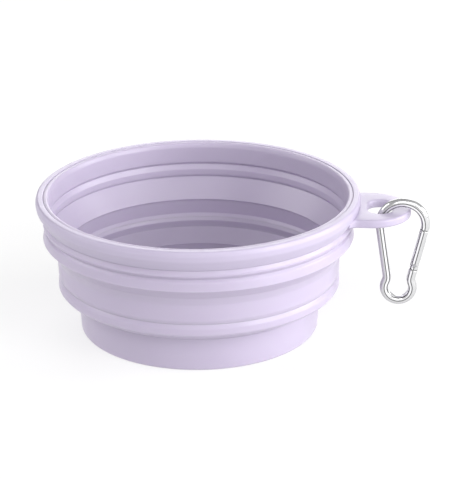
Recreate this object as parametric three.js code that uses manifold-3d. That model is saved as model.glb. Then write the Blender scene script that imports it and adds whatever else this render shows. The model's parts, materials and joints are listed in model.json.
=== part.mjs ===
// Collapsible pet bowl: a soft accordion bowl in a stiff rim frame, with a snap link on its hanging tab.
// Sizes are in millimetres, +Z is up, and the origin is the centre of the flat underside.
// The tab points along +X.
import * as THREE from 'three';
import { mergeVertices } from 'three/addons/utils/BufferGeometryUtils.js';
import Module from 'manifold-3d';

const wasm = await Module();
wasm.setup();

// Bowl heights, stacked from the underside to the rim
const CUP_HEIGHT = 13.4;
const LOWER_WEB_RISE = 4.7;
const MIDDLE_BAND_HEIGHT = 13.4;
const UPPER_WEB_RISE = 8.1;
const UPPER_BAND_HEIGHT = 8.0;
const RIM_DEPTH = 8.7;

// Bowl radii, worked inwards from the rim
const RIM_RADIUS = 65;
const RIM_THICKNESS = 3.0;
const RIM_TAPER = 2.4;
const RIM_ROUND = 1.6;
const LIP_THICKNESS = 2.0;
const SHOULDER_WIDTH = 0.8;
const UPPER_LEDGE_WIDTH = 5.7;
const LOWER_LEDGE_WIDTH = 7.9;
const CUP_DRAFT = 0.8;

// Soft wall and its grooves
const SOFT_WALL = 2.3;
const UPPER_WEB_THICKNESS = 2.6;
const LOWER_WEB_THICKNESS = 3.0;
const FLOOR_THICKNESS = 2.4;
const FLOOR_FILLET = 3.0;
const BASE_ROUND = 1.2;
const LIP_ROUND = 0.7;
const GROOVE_DEPTH = 0.7;
const GROOVE_HEIGHT = 1.6;
const UPPER_GROOVE_RISE = 4.5;
const MIDDLE_GROOVE_RISE = 5.4;
const KEY_DEPTH = 0.9;
const KEY_HEIGHT = 1.5;
const KEY_DROP = 2.0;

// Hanging tab and its slot
const TAB_WIDTH = 32;
const TAB_REACH = 20.1;
const TAB_THICKNESS = 3.5;
const TAB_DROP = 4.1;
const TAB_EDGE_ROUND = 0.8;
const BAR_WIDTH = 7.4;
const SLOT_WIDTH = 9.8;
const SLOT_LENGTH = 14.8;

// Snap link
const WIRE_DIAMETER = 3.6;
const ARCH_INNER_RADIUS = 7.2;
const BULB_INNER_RADIUS = 3.8;
const NECK_INNER_WIDTH = 5.9;
const NECK_RISE = 4.4;
const LINK_LENGTH = 45.3;
const LINK_OFFSET = 4.3;
const HANG_REACH = 4.2;
const LINK_LEAN = THREE.MathUtils.degToRad(2.5);

// Gate and the small pieces inside it
const GATE_FOOT = 1.9;
const GATE_WALL = 0.8;
const GATE_END_WALL = 1.9;
const NECK_STUB = 3.7;
const TONGUE_THICKNESS = 1.1;
const TONGUE_RADIUS = 1.5;
const CAM_LIFT = 0.7;
const NOSE_TONGUE_LENGTH = 2.4;
const NOSE_TONGUE_DEPTH = 1.15;
const RIVET_DIAMETER = 1.2;
const LATCH_PIN_DIAMETER = 1.0;
const LATCH_PIN_DROP = 1.3;
const PLUNGER_LENGTH = 2.4;
const PLUNGER_TIP_LENGTH = 0.8;
const SPRING_WIRE = 0.25;
const SPRING_TURNS = 9;

// Clearances
const SEAM = 0.3;
const HANG_GAP = 0.3;
const RUNNING_GAP = 0.2;
const PIN_GAP = 0.15;

// Facet counts
const RING_SIDES = 56;
const WIRE_SIDES = 10;
const PIN_SIDES = 12;

// Levels and radii that follow from the sizes above
const lowerStep = CUP_HEIGHT + LOWER_WEB_RISE;
const middleTop = lowerStep + MIDDLE_BAND_HEIGHT;
const upperStep = middleTop + UPPER_WEB_RISE;
const shoulder = upperStep + UPPER_BAND_HEIGHT;
const rimFoot = shoulder + SEAM;
const rimTop = shoulder + RIM_DEPTH;
const frameInner = RIM_RADIUS - RIM_THICKNESS;
const softOuter = frameInner - SEAM;
const softInner = softOuter - LIP_THICKNESS;
const bandRadius = softOuter + SHOULDER_WIDTH;
const middleRadius = bandRadius - UPPER_LEDGE_WIDTH;
const cupRadius = middleRadius - LOWER_LEDGE_WIDTH;
const tabTop = rimTop - TAB_DROP;
const tabTip = RIM_RADIUS + TAB_REACH;
const slotOuter = tabTip - BAR_WIDTH;
const slotCentre = slotOuter - SLOT_WIDTH / 2;
const wireRadius = WIRE_DIAMETER / 2;

const softFinish = () => new THREE.MeshStandardMaterial({ color: 0xcfc4dd, roughness: 0.55, metalness: 0 });
const frameFinish = () => new THREE.MeshStandardMaterial({ color: 0xd6cce3, roughness: 0.45, metalness: 0 });
const metalFinish = () => new THREE.MeshStandardMaterial({ color: 0xc9c9cc, roughness: 0.18, metalness: 1 });

// Leaves only positions, joins shared corners and drops triangles that have no area.
function closed(geometry) {
  geometry.deleteAttribute('normal');
  geometry.deleteAttribute('uv');
  const merged = mergeVertices(geometry);
  const corners = merged.index.array;
  const kept = [];
  for (let i = 0; i < corners.length; i += 3) {
    const [a, b, c] = [corners[i], corners[i + 1], corners[i + 2]];
    if (a !== b && b !== c && c !== a) kept.push(a, b, c);
  }
  merged.setIndex(kept);
  return merged;
}

function toSolid(geometry) {
  const vertProperties = new Float32Array(geometry.attributes.position.array);
  const triVerts = new Uint32Array(geometry.index.array);
  return new wasm.Manifold(new wasm.Mesh({ numProp: 3, vertProperties, triVerts }));
}

function toGeometry(solid) {
  const mesh = solid.getMesh();
  const geometry = new THREE.BufferGeometry();
  geometry.setAttribute('position', new THREE.BufferAttribute(new Float32Array(mesh.vertProperties), 3));
  geometry.setIndex(Array.from(mesh.triVerts));
  return geometry;
}

// Turns a profile of [radius, height] points, listed anticlockwise, about the Z axis.
function turned(profile, sides = RING_SIDES, endless = true) {
  const points = profile.map(([radius, height]) => new THREE.Vector2(radius, height));
  if (endless) points.push(points[0].clone());
  const geometry = closed(new THREE.LatheGeometry(points, sides));
  geometry.rotateX(Math.PI / 2);
  return geometry;
}

// Points on an arc of a profile, with the angles in degrees.
function arc(centreRadius, centreHeight, radius, from, to, steps) {
  const points = [];
  for (let i = 0; i <= steps; i += 1) {
    const angle = THREE.MathUtils.degToRad(from + ((to - from) * i) / steps);
    points.push([centreRadius + radius * Math.cos(angle), centreHeight + radius * Math.sin(angle)]);
  }
  return points;
}

// A straight pin of the given radius along Z, from one height to another.
function pin(radius, low, high, sides = PIN_SIDES) {
  return turned([[0, low], [radius, low], [radius, high], [0, high]], sides, false);
}

// A plate cut to an outline in the XZ plane, centred on Y.
function plate(shape, thickness, curveSegments = 12) {
  const geometry = new THREE.ExtrudeGeometry(shape, { depth: thickness, bevelEnabled: false, curveSegments });
  geometry.translate(0, 0, -thickness / 2);
  geometry.rotateX(Math.PI / 2);
  return closed(geometry);
}

function block(width, depth, height, x, y, z) {
  const geometry = new THREE.BoxGeometry(width, depth, height);
  geometry.translate(x, y, z);
  return closed(geometry);
}

// A round bar swept along a curve.
function swept(curve, radius, sides, steps) {
  const section = new THREE.Shape();
  for (let i = 0; i < sides; i += 1) {
    const angle = (2 * Math.PI * i) / sides;
    const point = [radius * Math.cos(angle), radius * Math.sin(angle)];
    if (i === 0) section.moveTo(...point);
    else section.lineTo(...point);
  }
  return closed(new THREE.ExtrudeGeometry(section, { extrudePath: curve, steps, bevelEnabled: false }));
}

function named(name, geometry, material) {
  geometry.computeVertexNormals();
  const mesh = new THREE.Mesh(geometry, material);
  mesh.name = name;
  return mesh;
}

// Corners of a sloping web. Its inner face is parallel to its outer face, and meets the walls at both ends.
function webCorners(highOuter, lowOuter, thickness, highInnerRadius, lowInnerRadius) {
  const slope = (highOuter[1] - lowOuter[1]) / (highOuter[0] - lowOuter[0]);
  const rise = thickness * Math.hypot(1, slope);
  const innerAt = (radius) => [radius, lowOuter[1] + slope * (radius - lowOuter[0]) + rise];
  return { highOuter, lowOuter, highInner: innerAt(highInnerRadius), lowInner: innerAt(lowInnerRadius) };
}

const upperWeb = webCorners(
  [bandRadius - SOFT_WALL / 2, upperStep - SEAM],
  [middleRadius + SEAM, middleTop],
  UPPER_WEB_THICKNESS,
  softInner - SEAM,
  middleRadius - SOFT_WALL,
);
const lowerWeb = webCorners(
  [middleRadius - SOFT_WALL / 2, lowerStep - SEAM],
  [cupRadius + SEAM, CUP_HEIGHT],
  LOWER_WEB_THICKNESS,
  middleRadius - SOFT_WALL - SEAM,
  cupRadius - SOFT_WALL,
);

// Moves a profile point along the web by a distance, positive towards the low end.
function along(web, point, distance) {
  const run = new THREE.Vector2(web.lowOuter[0] - web.highOuter[0], web.lowOuter[1] - web.highOuter[1]);
  run.setLength(Math.abs(distance));
  const sense = Math.sign(distance);
  return [point[0] + sense * run.x, point[1] + sense * run.y];
}

function webRing(web) {
  const halfSeam = SEAM / 2;
  return turned([
    along(web, web.lowInner, -halfSeam),
    along(web, web.lowOuter, -halfSeam),
    along(web, web.highOuter, halfSeam),
    along(web, web.highInner, halfSeam),
  ]);
}

// Stiff ring with a tapered skirt, a key groove for the soft lip, and the hanging tab.
function rimFrame() {
  const keyTop = rimTop - KEY_DROP;
  const keyFoot = keyTop - KEY_HEIGHT;
  const profile = [
    [RIM_RADIUS - RIM_TAPER - SEAM, rimFoot],
    [RIM_RADIUS - RIM_TAPER, rimFoot + SEAM],
    ...arc(RIM_RADIUS - RIM_ROUND, rimTop - RIM_ROUND, RIM_ROUND, -18, 90, 6),
    [frameInner + SEAM, rimTop],
    [frameInner, rimTop - SEAM],
    [frameInner, keyTop + SEAM],
    [frameInner + KEY_DEPTH, keyTop + SEAM],
    [frameInner + KEY_DEPTH, keyFoot - SEAM],
    [frameInner, keyFoot - SEAM],
    [frameInner, rimFoot],
  ];
  const ring = toSolid(turned(profile));

  const outline = new THREE.Shape();
  const halfWidth = TAB_WIDTH / 2;
  const endCentre = tabTip - halfWidth;
  const root = frameInner - halfWidth;
  outline.moveTo(root, -halfWidth);
  outline.lineTo(endCentre, -halfWidth);
  outline.absarc(endCentre, 0, halfWidth, -Math.PI / 2, Math.PI / 2, false);
  outline.lineTo(root, halfWidth);
  const slot = new THREE.Path();
  const slotRound = SLOT_WIDTH / 2;
  const slotStraight = SLOT_LENGTH / 2 - slotRound;
  slot.absarc(slotCentre, slotStraight, slotRound, 0, Math.PI, false);
  slot.absarc(slotCentre, -slotStraight, slotRound, Math.PI, 2 * Math.PI, false);
  outline.holes.push(slot);
  const tab = new THREE.ExtrudeGeometry(outline, {
    depth: TAB_THICKNESS - 2 * TAB_EDGE_ROUND,
    bevelThickness: TAB_EDGE_ROUND,
    bevelSize: TAB_EDGE_ROUND,
    bevelOffset: -TAB_EDGE_ROUND,
    bevelSegments: 2,
    curveSegments: 14,
  });
  tab.translate(0, 0, tabTop - TAB_THICKNESS + TAB_EDGE_ROUND);
  const bowlSpace = toSolid(pin(frameInner + SEAM, rimFoot, rimTop, RING_SIDES));
  const tabSolid = toSolid(closed(tab)).subtract(bowlSpace);
  return toGeometry(ring.add(tabSolid));
}

// Soft lip, the ridge under the rim and the upper band, down to the upper fold.
function rimWall() {
  const neck = upperStep + UPPER_GROOVE_RISE;
  const keyTop = rimTop - KEY_DROP;
  const keyFoot = keyTop - KEY_HEIGHT;
  const halfSeam = SEAM / 2;
  return turned([
    along(upperWeb, upperWeb.highInner, -halfSeam),
    along(upperWeb, upperWeb.highOuter, -halfSeam),
    [bandRadius - SEAM, upperStep + SEAM],
    [bandRadius - SEAM, neck - GROOVE_HEIGHT / 2],
    [bandRadius - GROOVE_DEPTH, neck],
    [bandRadius, neck + GROOVE_HEIGHT],
    [bandRadius, shoulder - SEAM],
    [bandRadius - SEAM, shoulder],
    [softOuter, shoulder],
    [softOuter, keyFoot],
    [softOuter + KEY_DEPTH - SEAM, keyFoot],
    [softOuter + KEY_DEPTH - SEAM, keyTop],
    [softOuter, keyTop],
    [softOuter, rimTop - SEAM],
    [softOuter - SEAM, rimTop],
    ...arc(softInner + LIP_ROUND, rimTop - LIP_ROUND, LIP_ROUND, 90, 180, 3),
    [softInner, shoulder],
    [softInner - GROOVE_DEPTH, neck],
    [softInner, upperWeb.highInner[1] + SEAM],
  ]);
}

// Band between the two folds, with the fold groove round its outside and a ridge inside.
function middleBand() {
  const groove = lowerStep + MIDDLE_GROOVE_RISE;
  const halfSeam = SEAM / 2;
  const inner = middleRadius - SOFT_WALL;
  return turned([
    along(lowerWeb, lowerWeb.highInner, -halfSeam),
    along(lowerWeb, lowerWeb.highOuter, -halfSeam),
    [middleRadius - SEAM, lowerStep + SEAM],
    [middleRadius - SEAM, groove - GROOVE_HEIGHT / 2],
    [middleRadius - GROOVE_DEPTH, groove],
    [middleRadius - SEAM, groove + GROOVE_HEIGHT / 2],
    along(upperWeb, upperWeb.lowOuter, halfSeam),
    along(upperWeb, upperWeb.lowInner, halfSeam),
    [inner, groove + GROOVE_HEIGHT],
    [inner - GROOVE_DEPTH, groove],
    [inner, lowerWeb.highInner[1] + SEAM],
  ]);
}

// Cup with a flat floor and a flat underside.
function baseCup() {
  const halfSeam = SEAM / 2;
  const foot = cupRadius - CUP_DRAFT;
  const innerFoot = foot - SOFT_WALL;
  return turned([
    [0, 0],
    [foot - BASE_ROUND, 0],
    ...arc(foot - BASE_ROUND, BASE_ROUND, BASE_ROUND, -60, 0, 2),
    [cupRadius, CUP_HEIGHT - SEAM],
    along(lowerWeb, lowerWeb.lowOuter, halfSeam),
    along(lowerWeb, lowerWeb.lowInner, halfSeam),
    ...arc(innerFoot - FLOOR_FILLET, FLOOR_THICKNESS + FLOOR_FILLET, FLOOR_FILLET, 0, -90, 3),
    [0, FLOOR_THICKNESS],
  ], RING_SIDES, false);
}

// The link lies in the XZ plane about the centre of its arch, which hooks over the tab's outer bar
// and hangs on the bar's inner edge.
const archRadius = ARCH_INNER_RADIUS + wireRadius;
const bulbRadius = BULB_INNER_RADIUS + wireRadius;
const bulbDrop = LINK_LENGTH - archRadius - bulbRadius - WIRE_DIAMETER;
const neckHalf = NECK_INNER_WIDTH / 2 + wireRadius;
const neckDrop = bulbDrop - NECK_RISE;
const armLean = Math.atan2(neckDrop, neckHalf) - Math.acos(archRadius / Math.hypot(neckDrop, neckHalf));
const armLength = Math.sqrt(neckDrop ** 2 + neckHalf ** 2 - archRadius ** 2);
const hangDrop = Math.sqrt((ARCH_INNER_RADIUS - HANG_GAP) ** 2 - HANG_REACH ** 2);
const archCentre = new THREE.Vector3(slotOuter + HANG_REACH, -LINK_OFFSET, tabTop - hangDrop);

// The gate lies along the outer arm. Its own frame starts at the rivet, with Z towards the nose.
const rivetReach = armLength - NECK_STUB - SEAM - GATE_FOOT;
const gateTop = rivetReach - SEAM;
const rivetPoint = new THREE.Vector3(
  archRadius * Math.cos(armLean) - rivetReach * Math.sin(armLean),
  0,
  -archRadius * Math.sin(armLean) - rivetReach * Math.cos(armLean),
);
const tongueSlot = TONGUE_THICKNESS + 2 * RUNNING_GAP;
const hingeSlotTop = TONGUE_RADIUS + CAM_LIFT + RUNNING_GAP;
const boreRadius = wireRadius - GATE_WALL;
const noseSlotFoot = gateTop - NOSE_TONGUE_LENGTH - 2 * SEAM;
const boreTop = noseSlotFoot - GATE_END_WALL;
const plungerTip = TONGUE_RADIUS + SEAM;
const plungerTop = plungerTip + PLUNGER_LENGTH;
const rivetRadius = RIVET_DIAMETER / 2;
const latchRadius = LATCH_PIN_DIAMETER / 2;
const latchX = -latchRadius;
const latchZ = gateTop - LATCH_PIN_DROP;
const gatePlace = new THREE.Matrix4().makeRotationY(armLean).setPosition(rivetPoint);

// Lies a Z pin along Y at a point of the gate's frame, centred on Y.
function crossPin(radius, length, x, z) {
  const geometry = pin(radius, -length / 2, length / 2);
  geometry.rotateX(Math.PI / 2);
  geometry.translate(x, 0, z);
  return geometry;
}

// Centre line of the link's wire, from the nose over the arch, down the inner arm and round the bulb.
function linkPath() {
  const points = [];
  const place = (x, z) => points.push(new THREE.Vector3(x, 0, z));
  const archSteps = 14;
  for (let i = 0; i <= archSteps; i += 1) {
    const angle = -armLean + ((Math.PI + 2 * armLean) * i) / archSteps;
    place(archRadius * Math.cos(angle), archRadius * Math.sin(angle));
  }
  const armStart = points[points.length - 1].clone();
  const armSteps = 4;
  for (let i = 1; i < armSteps; i += 1) {
    const share = i / armSteps;
    place(armStart.x + (-neckHalf - armStart.x) * share, armStart.z + (-neckDrop - armStart.z) * share);
  }
  place(-neckHalf, -neckDrop);
  const bulbSteps = 10;
  const bulbOpening = THREE.MathUtils.degToRad(140);
  const bulbStart = (Math.PI + bulbOpening) / 2;
  const bulbTurn = 2 * Math.PI - bulbOpening;
  for (let i = 0; i <= bulbSteps; i += 1) {
    const angle = bulbStart + (bulbTurn * i) / bulbSteps;
    place(bulbRadius * Math.cos(angle), -bulbDrop + bulbRadius * Math.sin(angle));
  }
  place(neckHalf, -neckDrop);
  place(neckHalf + NECK_STUB * Math.sin(armLean), -neckDrop + NECK_STUB * Math.cos(armLean));
  return new THREE.CatmullRomCurve3(points, false, 'centripetal');
}

// Outline of the hinge tongue: a round end about the rivet with a cam that lifts the plunger as the gate opens.
function hingeTongue() {
  const outline = new THREE.Shape();
  const rootDrop = GATE_FOOT + SEAM + NECK_STUB / 2;
  const camStart = THREE.MathUtils.degToRad(105);
  const camEnd = THREE.MathUtils.degToRad(135);
  const steps = 14;
  outline.moveTo(-TONGUE_RADIUS, -rootDrop);
  outline.lineTo(TONGUE_RADIUS, -rootDrop);
  for (let i = 0; i <= steps; i += 1) {
    const angle = (Math.PI * i) / steps;
    const rise = THREE.MathUtils.smoothstep(angle, camStart, camEnd);
    const fall = THREE.MathUtils.smoothstep(angle, camEnd, Math.PI);
    const radius = TONGUE_RADIUS + CAM_LIFT * (rise - fall);
    outline.lineTo(radius * Math.cos(angle), radius * Math.sin(angle));
  }
  const tongue = toSolid(plate(outline, TONGUE_THICKNESS));
  return tongue.subtract(toSolid(crossPin(rivetRadius + PIN_GAP, 2 * TONGUE_THICKNESS, 0, 0)));
}

// Wire of the link with its hinge tongue and the nose tongue that the latch pin stops against.
function linkFrame() {
  const wire = toSolid(swept(linkPath(), wireRadius, WIRE_SIDES, 60));
  const noseX = latchX + latchRadius + SEAM + NOSE_TONGUE_DEPTH / 2;
  const noseFoot = gateTop - NOSE_TONGUE_LENGTH;
  const noseTop = gateTop + SEAM + wireRadius / 2;
  const nose = toSolid(block(
    NOSE_TONGUE_DEPTH, TONGUE_THICKNESS, noseTop - noseFoot, noseX, 0, (noseTop + noseFoot) / 2,
  ));
  const tongues = toGeometry(hingeTongue().add(nose));
  tongues.applyMatrix4(gatePlace);
  return toGeometry(wire.add(toSolid(tongues)));
}

// Round gate, slotted at both ends for the tongues and bored for the plunger and spring.
// The inner corner of its foot is rounded about the rivet, so that it clears the link as the gate opens.
function linkGate() {
  const far = 2 * WIRE_DIAMETER;
  const cuts = [
    block(far, tongueSlot, hingeSlotTop + far, 0, 0, (hingeSlotTop - far) / 2),
    block(far, tongueSlot, far, 0, 0, noseSlotFoot + far / 2),
    pin(boreRadius, hingeSlotTop - SEAM, boreTop),
    crossPin(rivetRadius + PIN_GAP, far, 0, 0),
    crossPin(latchRadius + PIN_GAP, far, latchX, latchZ),
  ];
  const footCorner = toSolid(block(far, far, far, -far / 2, 0, -far / 2))
    .subtract(toSolid(crossPin(GATE_FOOT, 2 * far, 0, 0)));
  let gate = toSolid(pin(wireRadius, -GATE_FOOT, gateTop, 2 * PIN_SIDES)).subtract(footCorner);
  for (const cut of cuts) gate = gate.subtract(toSolid(cut));
  return toGeometry(gate);
}

// Plunger with a slimmer tip that rides on the hinge tongue's cam.
function gatePlunger() {
  const body = boreRadius - RUNNING_GAP;
  const tip = Math.min(body, tongueSlot / 2) - PIN_GAP / 2;
  return turned([
    [0, plungerTip],
    [tip, plungerTip],
    [tip, plungerTip + PLUNGER_TIP_LENGTH],
    [body, plungerTip + PLUNGER_TIP_LENGTH + SEAM / 2],
    [body, plungerTop],
    [0, plungerTop],
  ], PIN_SIDES, false);
}

// Helix of the gate spring, in the bore behind the plunger.
class SpringCurve extends THREE.Curve {
  constructor(radius, low, high, turns) {
    super();
    Object.assign(this, { radius, low, high, turns });
  }

  getPoint(t, target = new THREE.Vector3()) {
    const angle = 2 * Math.PI * this.turns * t;
    const height = this.low + (this.high - this.low) * t;
    return target.set(this.radius * Math.cos(angle), this.radius * Math.sin(angle), height);
  }
}

function gateSpring() {
  const stepsPerCurl = 8;
  const wireSides = 5;
  const wire = SPRING_WIRE / 2;
  const low = plungerTop + SEAM + wire;
  const high = boreTop - SEAM - wire;
  const curve = new SpringCurve(boreRadius - RUNNING_GAP - wire, low, high, SPRING_TURNS);
  const points = curve.getPoints(SPRING_TURNS * stepsPerCurl);
  let least = Infinity;
  for (let i = 0; i < points.length; i += 1) {
    for (let j = i + stepsPerCurl / 2; j < points.length; j += 1) {
      least = Math.min(least, points[i].distanceTo(points[j]) - SPRING_WIRE);
    }
  }
  console.log(`gate spring: least gap to itself ${least.toFixed(2)} mm`);
  return swept(curve, wire, wireSides, SPRING_TURNS * stepsPerCurl);
}

const bowl = new THREE.Group();
bowl.add(named('rim_frame', rimFrame(), frameFinish()));
bowl.add(named('rim_wall', rimWall(), softFinish()));
bowl.add(named('upper_fold', webRing(upperWeb), softFinish()));
bowl.add(named('middle_band', middleBand(), softFinish()));
bowl.add(named('lower_fold', webRing(lowerWeb), softFinish()));
bowl.add(named('base_cup', baseCup(), softFinish()));

const gateGroup = new THREE.Group();
gateGroup.position.copy(rivetPoint);
gateGroup.rotation.y = armLean;
gateGroup.add(named('link_gate', linkGate(), metalFinish()));
gateGroup.add(named('gate_rivet', crossPin(rivetRadius, WIRE_DIAMETER - SEAM, 0, 0), metalFinish()));
gateGroup.add(named('latch_pin', crossPin(latchRadius, WIRE_DIAMETER - 2 * SEAM, latchX, latchZ), metalFinish()));
gateGroup.add(named('gate_plunger', gatePlunger(), metalFinish()));
gateGroup.add(named('gate_spring', gateSpring(), metalFinish()));

const link = new THREE.Group();
link.position.copy(archCentre);
link.rotation.y = LINK_LEAN;
link.add(named('link_frame', linkFrame(), metalFinish()));
link.add(gateGroup);
bowl.add(link);

export default bowl;
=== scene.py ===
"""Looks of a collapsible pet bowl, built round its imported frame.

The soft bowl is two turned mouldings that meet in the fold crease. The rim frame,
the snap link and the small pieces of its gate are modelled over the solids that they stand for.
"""

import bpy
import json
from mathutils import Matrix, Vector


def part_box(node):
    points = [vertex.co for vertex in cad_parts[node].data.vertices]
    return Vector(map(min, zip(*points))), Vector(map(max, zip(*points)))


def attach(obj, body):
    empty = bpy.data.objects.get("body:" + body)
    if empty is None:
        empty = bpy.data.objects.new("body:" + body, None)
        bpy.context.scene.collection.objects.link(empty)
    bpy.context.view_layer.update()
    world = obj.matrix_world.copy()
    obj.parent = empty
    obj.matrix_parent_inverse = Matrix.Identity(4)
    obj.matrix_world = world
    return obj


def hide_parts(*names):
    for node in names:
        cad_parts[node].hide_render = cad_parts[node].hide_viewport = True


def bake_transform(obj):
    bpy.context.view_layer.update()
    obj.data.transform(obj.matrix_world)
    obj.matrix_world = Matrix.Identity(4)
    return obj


bl_info = {
    "name": "Collapsible pet bowl",
    "version": (1, 0, 0),
    "blender": (4, 5, 0),
    "location": "View3D > Sidebar > Pet Bowl",
    "description": "Builds a folding travel bowl with a hanging tab and a snap link",
    "category": "Object",
}

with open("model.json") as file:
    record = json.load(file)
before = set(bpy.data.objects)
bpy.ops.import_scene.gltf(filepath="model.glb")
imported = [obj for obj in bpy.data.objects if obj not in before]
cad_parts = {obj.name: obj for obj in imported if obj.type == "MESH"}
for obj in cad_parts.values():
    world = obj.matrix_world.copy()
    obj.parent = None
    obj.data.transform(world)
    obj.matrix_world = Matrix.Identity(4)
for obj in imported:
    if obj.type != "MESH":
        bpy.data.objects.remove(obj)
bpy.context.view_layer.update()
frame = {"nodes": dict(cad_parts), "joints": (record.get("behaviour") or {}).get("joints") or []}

import json
import math

import bmesh
import bpy
from bpy.props import FloatProperty, FloatVectorProperty, IntProperty, PointerProperty
from mathutils import Matrix, Vector

MM = 0.001
IMAGE_WIDTH = 461
IMAGE_HEIGHT = 479

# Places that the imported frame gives
JOINTS = {joint["name"]: joint for joint in frame["joints"]}
RIM_LOW, RIM_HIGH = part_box("rim_frame")
WALL_LOW, WALL_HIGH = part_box("rim_wall")
BAND_LOW, BAND_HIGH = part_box("middle_band")
CUP_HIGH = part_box("base_cup")[1]
LINK_LOW, LINK_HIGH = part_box("link_frame")
ARCH_CENTRE = Vector(JOINTS["link_swing"]["pos_m"])
RIVET_POINT = Vector(JOINTS["gate_hinge"]["pos_m"])
GATE_AXIS = Vector(JOINTS["plunger_slide"]["axis"])

# The link lies in a plane of constant Y, and its round pins lie across that plane
ACROSS = Vector((0, 1, 0))
UP = Vector((0, 0, 1))
TURN_ACROSS = Matrix.Rotation(math.pi / 2, 4, "X")

# Height of the fold crease over the lower step
CREASE_RISE = 4.9 * MM

# The tab's root: where its flare meets the skirt, and how far it stays short of the ring's inner face
FLARE_INSET = 0.8 * MM
ROOT_COVER = 0.6 * MM

# The gate: gap under its foot, its collar, its two slots, and its bore with the metal left above it
GATE_SEAM = 0.3 * MM
COLLAR_RISE = 0.1 * MM
COLLAR_LENGTH = 1.0 * MM
COLLAR_END = 1.3 * MM
HINGE_SLOT = 2.4 * MM
NOSE_SLOT = 3.0 * MM
BORE_RADIUS = 1.0 * MM
BORE_COVER = 1.9 * MM

# The nose tongue's reach into the gate, depth, shift off the gate's axis and root in the wire, and the
# round hinge tongue's radius and root
NOSE_REACH = 2.4 * MM
NOSE_DEPTH = 1.15 * MM
NOSE_SHIFT = 0.3 * MM
NOSE_ROOT = 1.2 * MM
HINGE_RADIUS = 1.5 * MM
HINGE_ROOT = 1.0 * MM

# The rivet's heads: past the shank, into the gate, proud of the gate and at their edges
HEAD_OVERHANG = 0.25 * MM
HEAD_SINK = 0.25 * MM
HEAD_RISE = 0.15 * MM
HEAD_EDGE = 0.15 * MM

# Room between the spring and its bore
SPRING_ROOM = 0.2 * MM

# The part of a noise that a range is stretched over, and how far the sheen of a moulding varies
NOISE_LOW = 0.3
NOISE_HIGH = 0.7
SHEEN_SPREAD = 0.05

# Painted reflections on the polished wire, from its outer side at 0 to its inner side at 1: a dimmer outer
# side, then two dark painted reflection lines with a bright painted streak between them on the inner side
WIRE_PAINTED_REFLECTIONS = (
    (0.0, 0.5), (0.12, 0.58), (0.42, 0.7), (0.475, 0.1), (0.53, 0.14), (0.59, 1.0),
    (0.73, 1.0), (0.785, 0.08), (0.84, 0.12), (0.91, 0.9), (1.0, 0.8),
)

# Square lights: name, place, side and the studio value that holds the power
LIGHTS = (
    ("key_light", (0.9, -0.67, 0.75), 1.0, "key_power"),
    ("low_key_light", (1.1, -0.65, 0.4), 0.6, "low_power"),
    ("right_light", (1.28, 0.15, 0.4), 0.6, "right_power"),
    ("left_light", (-1.17, -0.07, 0.67), 1.0, "left_power"),
    ("back_light", (0.0, 1.3, 0.55), 1.0, "back_power"),
    ("front_light", (0.1, -1.2, 0.8), 1.0, "front_power"),
)


# Sizes and colours

def length(name, default, description):
    """A size property in metres."""
    return FloatProperty(name=name, description=description, default=default, min=0.0,
                         unit="LENGTH", precision=5)


def turn_angle(name, degrees, description):
    """An angle property, with its default in degrees."""
    return FloatProperty(name=name, description=description, default=math.radians(degrees), subtype="ANGLE")


def fraction(name, default, description):
    """A property from 0 to 1."""
    return FloatProperty(name=name, description=description, default=default, min=0.0, max=1.0,
                         subtype="FACTOR")


def light_power(name, default, description):
    """A property for the power of a light."""
    return FloatProperty(name=name, description=description, default=default, unit="POWER")


def plain_number(name, default, description):
    """A property without a unit."""
    return FloatProperty(name=name, description=description, default=default)


def tint(name, default, description):
    """A colour property."""
    return FloatVectorProperty(name=name, description=description, default=default, subtype="COLOR",
                               size=3, min=0.0, max=1.0)


class BowlSizes(bpy.types.PropertyGroup):
    """Sizes of the soft bowl and its rim."""
    rim_radius: length("Rim radius", -RIM_LOW.x, "Outer radius of the rim frame")
    rim_top: length("Rim top", RIM_HIGH.z, "Height of the rim above the underside")
    rim_foot: length("Rim foot", RIM_LOW.z, "Height of the lower edge of the rim frame")
    rim_thickness: length("Rim thickness", 3.0 * MM, "Width of the rim frame's flat top")
    rim_taper: length("Rim taper", 2.4 * MM, "How far the skirt draws in towards its foot")
    lip_thickness: length("Lip thickness", 2.0 * MM, "Thickness of the soft lip inside the rim frame")
    seam: length("Seam", 0.08 * MM, "Gap between the lip and the rim frame")
    band_radius: length("Upper band radius", WALL_HIGH.x, "Radius of the ridge under the rim frame")
    upper_step: length("Upper step", WALL_LOW.z + 0.2 * MM, "Height of the upper step edge")
    middle_radius: length("Middle band radius", BAND_HIGH.x - 0.2 * MM, "Radius of the middle band")
    middle_top: length("Middle band top", BAND_HIGH.z - 0.5 * MM, "Height where the upper web meets the band")
    lower_step: length("Lower step", BAND_LOW.z + 0.2 * MM, "Height of the lower step edge")
    cup_radius: length("Cup radius", CUP_HIGH.x - 0.2 * MM, "Outer radius of the cup at its top")
    cup_top: length("Cup top", CUP_HIGH.z - 1.9 * MM, "Height where the lower web meets the cup")
    cup_draft: length("Cup draft", 0.8 * MM, "How far the cup draws in towards its foot")
    soft_wall: length("Soft wall", 2.3 * MM, "Thickness of the soft wall")
    floor_thickness: length("Floor thickness", 2.4 * MM, "Thickness of the cup's floor")
    crease: length("Crease", 1.1 * MM, "Depth of the fold creases")
    segments: IntProperty(name="Segments", description="Facets round the bowl", default=180, min=24)


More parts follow.
